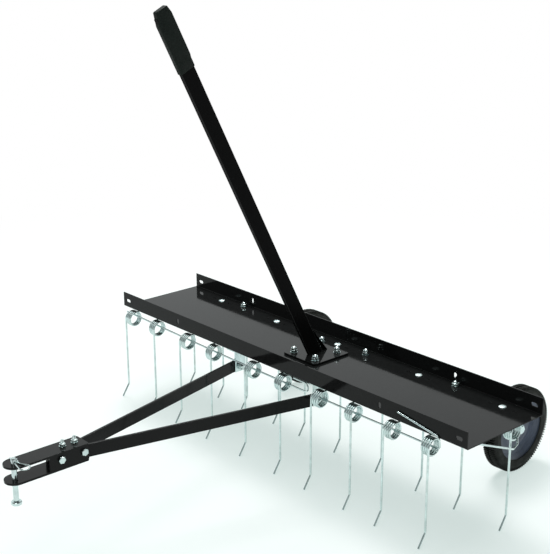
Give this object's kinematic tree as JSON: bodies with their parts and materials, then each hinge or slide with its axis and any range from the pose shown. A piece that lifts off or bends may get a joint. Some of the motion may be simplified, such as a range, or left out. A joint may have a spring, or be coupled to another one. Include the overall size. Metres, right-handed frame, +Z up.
{
  "type": "tow-behind dethatcher",
  "caption": "Tow-behind lawn dethatcher: folded steel tray over coil-spring tines, with transport wheels, a lift handle and a pivoting drawbar with a pinned hitch.",
  "frame": {"origin": "on the ground, under the middle of the machine's outline as seen from above", "axes": "+X along the tray, to the right as seen from the hitch; +Y from the hitch to the wheels; +Z up"},
  "size_m": [1.016, 1.0384, 0.9342],
  "materials": {
    "black_paint": "glossy black powder coat on steel",
    "zinc_plate": "bright zinc plate",
    "tyre_rubber": "matte, ribbed tread",
    "rim_plastic": "satin slate grey",
    "grip_rubber": "matte, soft"
  },
  "bodies": {
    "frame": {"tray": "black_paint", "handle_foot": "black_paint", "handle_bar": "black_paint", "handle_grip": "grip_rubber", "front_rod_left": "zinc_plate", "front_rod_right": "zinc_plate", "rear_rod_left": "zinc_plate", "rear_rod_right": "zinc_plate", "front_bridge_1": "zinc_plate", "front_bridge_2": "zinc_plate", "front_bridge_3": "zinc_plate", "front_bridge_4": "zinc_plate", "front_bridge_5": "zinc_plate", "rear_bridge_1": "zinc_plate", "rear_bridge_2": "zinc_plate", "rear_bridge_3": "zinc_plate", "rear_bridge_4": "zinc_plate", "rear_bridge_5": "zinc_plate", "wheel_bracket_left": "black_paint", "wheel_bracket_right": "black_paint", "axle_bolt_left": "zinc_plate", "axle_bolt_right": "zinc_plate", "drawbar_bracket_left": "zinc_plate", "drawbar_bracket_right": "zinc_plate", "pivot_bolt_left": "zinc_plate", "pivot_bolt_right": "zinc_plate"},
    "left_wheel": {"wheel_tyre_left": "tyre_rubber", "wheel_rim_left": "rim_plastic"},
    "right_wheel": {"wheel_tyre_right": "tyre_rubber", "wheel_rim_right": "rim_plastic"},
    "drawbar": {"drawbar_left": "black_paint", "drawbar_right": "black_paint", "hitch_strap_top": "black_paint", "hitch_strap_bottom": "black_paint", "hitch_top_bolt_front": "zinc_plate", "hitch_top_bolt_rear": "zinc_plate", "hitch_side_bolt_front": "zinc_plate", "hitch_side_bolt_rear": "zinc_plate"},
    "pin": {"hitch_pin": "zinc_plate"},
    "clip": {"hairpin_clip": "zinc_plate"},
    "front_spring_1": {"front_tine_1": "zinc_plate"},
    "front_spring_2": {"front_tine_2": "zinc_plate"},
    "front_spring_3": {"front_tine_3": "zinc_plate"},
    "front_spring_4": {"front_tine_4": "zinc_plate"},
    "front_spring_5": {"front_tine_5": "zinc_plate"},
    "front_spring_6": {"front_tine_6": "zinc_plate"},
    "front_spring_7": {"front_tine_7": "zinc_plate"},
    "front_spring_8": {"front_tine_8": "zinc_plate"},
    "front_spring_9": {"front_tine_9": "zinc_plate"},
    "front_spring_10": {"front_tine_10": "zinc_plate"},
    "rear_spring_1": {"rear_tine_1": "zinc_plate"},
    "rear_spring_2": {"rear_tine_2": "zinc_plate"},
    "rear_spring_3": {"rear_tine_3": "zinc_plate"},
    "rear_spring_4": {"rear_tine_4": "zinc_plate"},
    "rear_spring_5": {"rear_tine_5": "zinc_plate"},
    "rear_spring_6": {"rear_tine_6": "zinc_plate"},
    "rear_spring_7": {"rear_tine_7": "zinc_plate"},
    "rear_spring_8": {"rear_tine_8": "zinc_plate"},
    "rear_spring_9": {"rear_tine_9": "zinc_plate"},
    "rear_spring_10": {"rear_tine_10": "zinc_plate"}
  },
  "joints": [
    {"name": "left_wheel_turn", "type": "hinge", "parent": "frame", "child": "left_wheel", "pos_m": [-0.268, 0.43075, 0.0885], "axis": [1, 0, 0], "continuous": true},
    {"name": "right_wheel_turn", "type": "hinge", "parent": "frame", "child": "right_wheel", "pos_m": [0.35, 0.43075, 0.0885], "axis": [1, 0, 0], "continuous": true},
    {"name": "drawbar_swing", "type": "hinge", "parent": "frame", "child": "drawbar", "pos_m": [0, 0.09525, 0.1749], "axis": [1, 0, 0], "range_deg": [-4, 10]},
    {"name": "pin_turn", "type": "hinge", "parent": "drawbar", "child": "pin", "pos_m": [0, -0.50075, 0.175], "axis": [0, 0, 1], "continuous": true},
    {"name": "clip_pull", "type": "slide", "parent": "pin", "child": "clip", "axis": [0.9816, -0.1908, 0], "range_m": [0, 0.06]},
    {"name": "front_tine_1_flex", "type": "hinge", "parent": "frame", "child": "front_spring_1", "pos_m": [-0.4742, 0.08025, 0.1885], "axis": [1, 0, 0], "range_deg": [0, 30], "stiffness_Nm_per_rad": 7.4},
    {"name": "front_tine_2_flex", "type": "hinge", "parent": "frame", "child": "front_spring_2", "pos_m": [-0.3818, 0.08025, 0.1885], "axis": [1, 0, 0], "range_deg": [0, 30], "stiffness_Nm_per_rad": 7.4},
    {"name": "front_tine_3_flex", "type": "hinge", "parent": "frame", "child": "front_spring_3", "pos_m": [-0.2712, 0.08025, 0.1885], "axis": [1, 0, 0], "range_deg": [0, 30], "stiffness_Nm_per_rad": 7.4},
    {"name": "front_tine_4_flex", "type": "hinge", "parent": "frame", "child": "front_spring_4", "pos_m": [-0.1788, 0.08025, 0.1885], "axis": [1, 0, 0], "range_deg": [0, 30], "stiffness_Nm_per_rad": 7.4},
    {"name": "front_tine_5_flex", "type": "hinge", "parent": "frame", "child": "front_spring_5", "pos_m": [-0.0522, 0.08025, 0.1885], "axis": [1, 0, 0], "range_deg": [0, 30], "stiffness_Nm_per_rad": 7.4},
    {"name": "front_tine_6_flex", "type": "hinge", "parent": "frame", "child": "front_spring_6", "pos_m": [0.0402, 0.08025, 0.1885], "axis": [1, 0, 0], "range_deg": [0, 30], "stiffness_Nm_per_rad": 7.4},
    {"name": "front_tine_7_flex", "type": "hinge", "parent": "frame", "child": "front_spring_7", "pos_m": [0.1448, 0.08025, 0.1885], "axis": [1, 0, 0], "range_deg": [0, 30], "stiffness_Nm_per_rad": 7.4},
    {"name": "front_tine_8_flex", "type": "hinge", "parent": "frame", "child": "front_spring_8", "pos_m": [0.2372, 0.08025, 0.1885], "axis": [1, 0, 0], "range_deg": [0, 30], "stiffness_Nm_per_rad": 7.4},
    {"name": "front_tine_9_flex", "type": "hinge", "parent": "frame", "child": "front_spring_9", "pos_m": [0.3348, 0.08025, 0.1885], "axis": [1, 0, 0], "range_deg": [0, 30], "stiffness_Nm_per_rad": 7.4},
    {"name": "front_tine_10_flex", "type": "hinge", "parent": "frame", "child": "front_spring_10", "pos_m": [0.4272, 0.08025, 0.1885], "axis": [1, 0, 0], "range_deg": [0, 30], "stiffness_Nm_per_rad": 7.4},
    {"name": "rear_tine_1_flex", "type": "hinge", "parent": "frame", "child": "rear_spring_1", "pos_m": [-0.4252, 0.23725, 0.1885], "axis": [1, 0, 0], "range_deg": [0, 30], "stiffness_Nm_per_rad": 7.4},
    {"name": "rear_tine_2_flex", "type": "hinge", "parent": "frame", "child": "rear_spring_2", "pos_m": [-0.3328, 0.23725, 0.1885], "axis": [1, 0, 0], "range_deg": [0, 30], "stiffness_Nm_per_rad": 7.4},
    {"name": "rear_tine_3_flex", "type": "hinge", "parent": "frame", "child": "rear_spring_3", "pos_m": [-0.2322, 0.23725, 0.1885], "axis": [1, 0, 0], "range_deg": [0, 30], "stiffness_Nm_per_rad": 7.4},
    {"name": "rear_tine_4_flex", "type": "hinge", "parent": "frame", "child": "rear_spring_4", "pos_m": [-0.1398, 0.23725, 0.1885], "axis": [1, 0, 0], "range_deg": [0, 30], "stiffness_Nm_per_rad": 7.4},
    {"name": "rear_tine_5_flex", "type": "hinge", "parent": "frame", "child": "rear_spring_5", "pos_m": [-0.0402, 0.23725, 0.1885], "axis": [1, 0, 0], "range_deg": [0, 30], "stiffness_Nm_per_rad": 7.4},
    {"name": "rear_tine_6_flex", "type": "hinge", "parent": "frame", "child": "rear_spring_6", "pos_m": [0.0522, 0.23725, 0.1885], "axis": [1, 0, 0], "range_deg": [0, 30], "stiffness_Nm_per_rad": 7.4},
    {"name": "rear_tine_7_flex", "type": "hinge", "parent": "frame", "child": "rear_spring_7", "pos_m": [0.1868, 0.23725, 0.1885], "axis": [1, 0, 0], "range_deg": [0, 30], "stiffness_Nm_per_rad": 7.4},
    {"name": "rear_tine_8_flex", "type": "hinge", "parent": "frame", "child": "rear_spring_8", "pos_m": [0.2792, 0.23725, 0.1885], "axis": [1, 0, 0], "range_deg": [0, 30], "stiffness_Nm_per_rad": 7.4},
    {"name": "rear_tine_9_flex", "type": "hinge", "parent": "frame", "child": "rear_spring_9", "pos_m": [0.3918, 0.23725, 0.1885], "axis": [1, 0, 0], "range_deg": [0, 30], "stiffness_Nm_per_rad": 7.4},
    {"name": "rear_tine_10_flex", "type": "hinge", "parent": "frame", "child": "rear_spring_10", "pos_m": [0.4842, 0.23725, 0.1885], "axis": [1, 0, 0], "range_deg": [0, 30], "stiffness_Nm_per_rad": 7.4}
  ]
}
